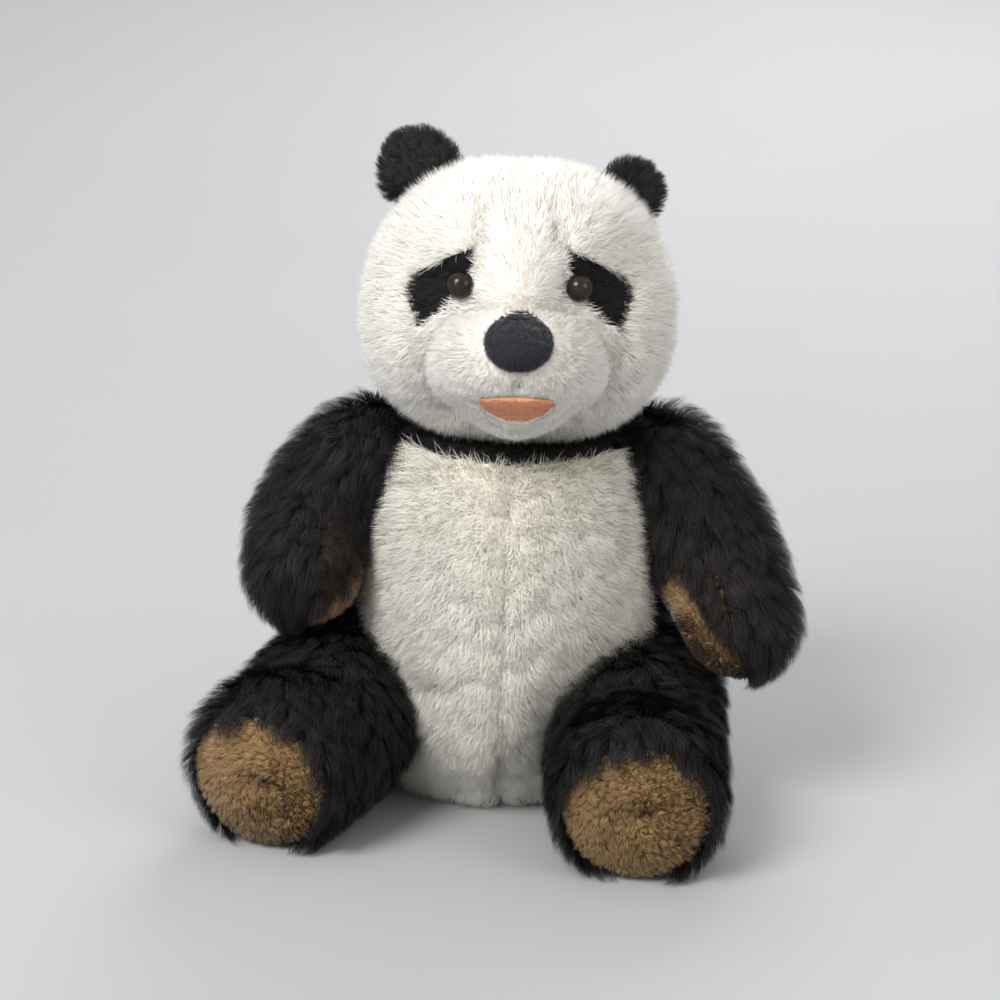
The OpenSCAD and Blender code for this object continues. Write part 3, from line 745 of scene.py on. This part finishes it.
# Eyes.
# Glossy domed plastic eyes with a washer behind the fabric: a dark pupil in a brown iris under a clear coat.
for side in ("right", "left"):
    eye = frame["nodes"]["eye_" + side]
    eye.data.materials.clear()
    own = Paint("eye_glass_" + side, Roughness=0.3, Specular_IOR_Level=0.1, Coat_Weight=0.35,
                Coat_Roughness=0.03)
    pole = middle_of("eye_" + side) * [1, 0, 1] + [0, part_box("eye_" + side)[0].y, 0]
    away = own.node("ShaderNodeVectorMath", {"operation": "DISTANCE"}, (own.place(), tuple(pole)), "Value")
    iris = own.mix(own.noise(500.0), (0.010, 0.006, 0.005), (0.026, 0.018, 0.013))
    rim = ((away - 0.0048) * 900.0).clamped()
    eye.data.materials.append(own.colour(own.mix(rim, iris, (0.006, 0.005, 0.005))))
    washer = frame["nodes"]["eye_washer_" + side]
    washer.data.materials.clear()
    nylon = Paint("washer_nylon_" + side, Roughness=0.45)
    milky = nylon.mix(nylon.noise(500.0), (0.7, 0.7, 0.68), (0.8, 0.8, 0.78))
    washer.data.materials.append(nylon.colour(milky))

# Care label.
# A white satin ribbon without print, doubled and caught in the seam beside the tail. Its fold hangs over
# the pile.


def grid(rows, columns):
    """The four corners of each face of a net of points."""
    first = (np.arange(rows - 1)[:, None] * columns + np.arange(columns - 1)).ravel()
    return first[:, None] + [0, 1, columns + 1, columns]


satin = Paint("label_satin_weave", Roughness=0.38, Sheen_Weight=0.3)
weave = satin.node("ShaderNodeTexWave", {}, {"Vector": satin.place(), "Scale": 1400.0}, "Fac")
satin.bump(weave, 0.3, 0.0002)
satin.colour(satin.mix(weave, (0.80, 0.80, 0.79), (0.90, 0.90, 0.88)))
low, high = (np.array(corner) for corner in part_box("care_label"))
LONG, FULL, DROOP, BEND = 20 * MM, 1.6 * MM, 4 * MM, 1.2
ALONG, ACROSS = 33, 9
turn = np.linspace(0, math.pi, ALONG)
out, wide = np.sin(turn), high[2] - low[2]
loop = -FULL * out * np.cos(turn)
line = np.stack([low[0] + LONG * (1 - np.cos(BEND * out)) / BEND + loop * np.cos(BEND * out),
                 low[1] + LONG * np.sin(BEND * out) / BEND - loop * np.sin(BEND * out),
                 low[2] - DROOP * out**2], 1)
rows = line[:, None] + np.linspace(0, wide, ACROSS)[:, None] * [0.12, 0.0, 0.99]
corners = grid(ALONG, ACROSS)
ribbon = mesh_object("care_label_ribbon", rows.reshape(-1, 3), corners.ravel(), [4] * len(corners),
                     [satin.material])
ribbon.data.polygons.foreach_set("use_smooth", np.ones(len(corners), bool))
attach(ribbon, "torso")
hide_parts("care_label")

# Studio.
# A pale seamless floor that curves up all round, a large soft lamp from the upper left, a fill and a rim.
FLAT, CURVE, ROUND = 0.8, 3.2, 65
sweep = [(0.0, 0.0), (FLAT, 0.0)]
for a in np.linspace(0.06, math.pi / 2.2, 24):
    sweep.append((FLAT + CURVE * math.sin(a), CURVE - CURVE * math.cos(a)))
points = [(r * math.cos(t), r * math.sin(t), z) for r, z in sweep for t in np.linspace(0, 2 * math.pi, ROUND)]
corners = grid(len(sweep), ROUND)
paper = Paint("studio_paper", Roughness=0.9)
paper.colour(paper.mix(paper.noise(3.0), (0.395, 0.40, 0.405), (0.415, 0.42, 0.425)))
floor = mesh_object("studio_floor", points, corners.ravel(), [4] * len(corners), [paper.material])
floor.data.polygons.foreach_set("use_smooth", np.ones(len(corners), bool))


def lamp(name, place, aim, size, power, tint):
    light = bpy.data.lights.new(name, "AREA")
    light.shape, light.size, light.energy, light.color = "DISK", size, power, tint
    made = bpy.data.objects.new(name, light)
    made.location = place
    made.rotation_euler = (Vector(aim) - Vector(place)).to_track_quat("-Z", "Y").to_euler()
    bpy.context.scene.collection.objects.link(made)


lamp("key", (-1.4, -1.75, 1.95), (0, 0, 0.14), 1.4, 84.0, (1.0, 0.985, 0.955))
lamp("fill", (1.9, -1.5, 1.2), (0, 0, 0.14), 1.5, 18.0, (1.0, 0.94, 0.87))
lamp("rim", (0.5, 2.0, 1.7), (0, 0, 0.2), 1.4, 32.0, (1.0, 1.0, 1.0))
world = bpy.data.worlds.new("studio")
world.use_nodes = True
world.node_tree.nodes["Background"].inputs["Color"].default_value = (0.95, 0.97, 1.0, 1)
world.node_tree.nodes["Background"].inputs["Strength"].default_value = 0.8
scene = bpy.context.scene
scene.world = world
scene.view_settings.view_transform = "Standard"

# Camera.
# Straight in front and a little above, level with the face, as a person across a table sees it.
TARGET, DISTANCE, PITCH, ROLL = Vector((0, 0, 0.136)), 0.850, math.radians(14), math.radians(1.5)
look = bpy.data.cameras.new("camera")
look.lens, look.sensor_width, look.clip_start = 65.8, 36.0, 0.05
camera = bpy.data.objects.new("camera", look)
camera.location = TARGET + DISTANCE * Vector((0, -math.cos(PITCH), math.sin(PITCH)))
turned = (TARGET - camera.location).to_track_quat("-Z", "Y").to_matrix()
camera.rotation_euler = (turned @ Matrix.Rotation(ROLL, 3, "Z")).to_euler()
scene.collection.objects.link(camera)
scene.camera = camera
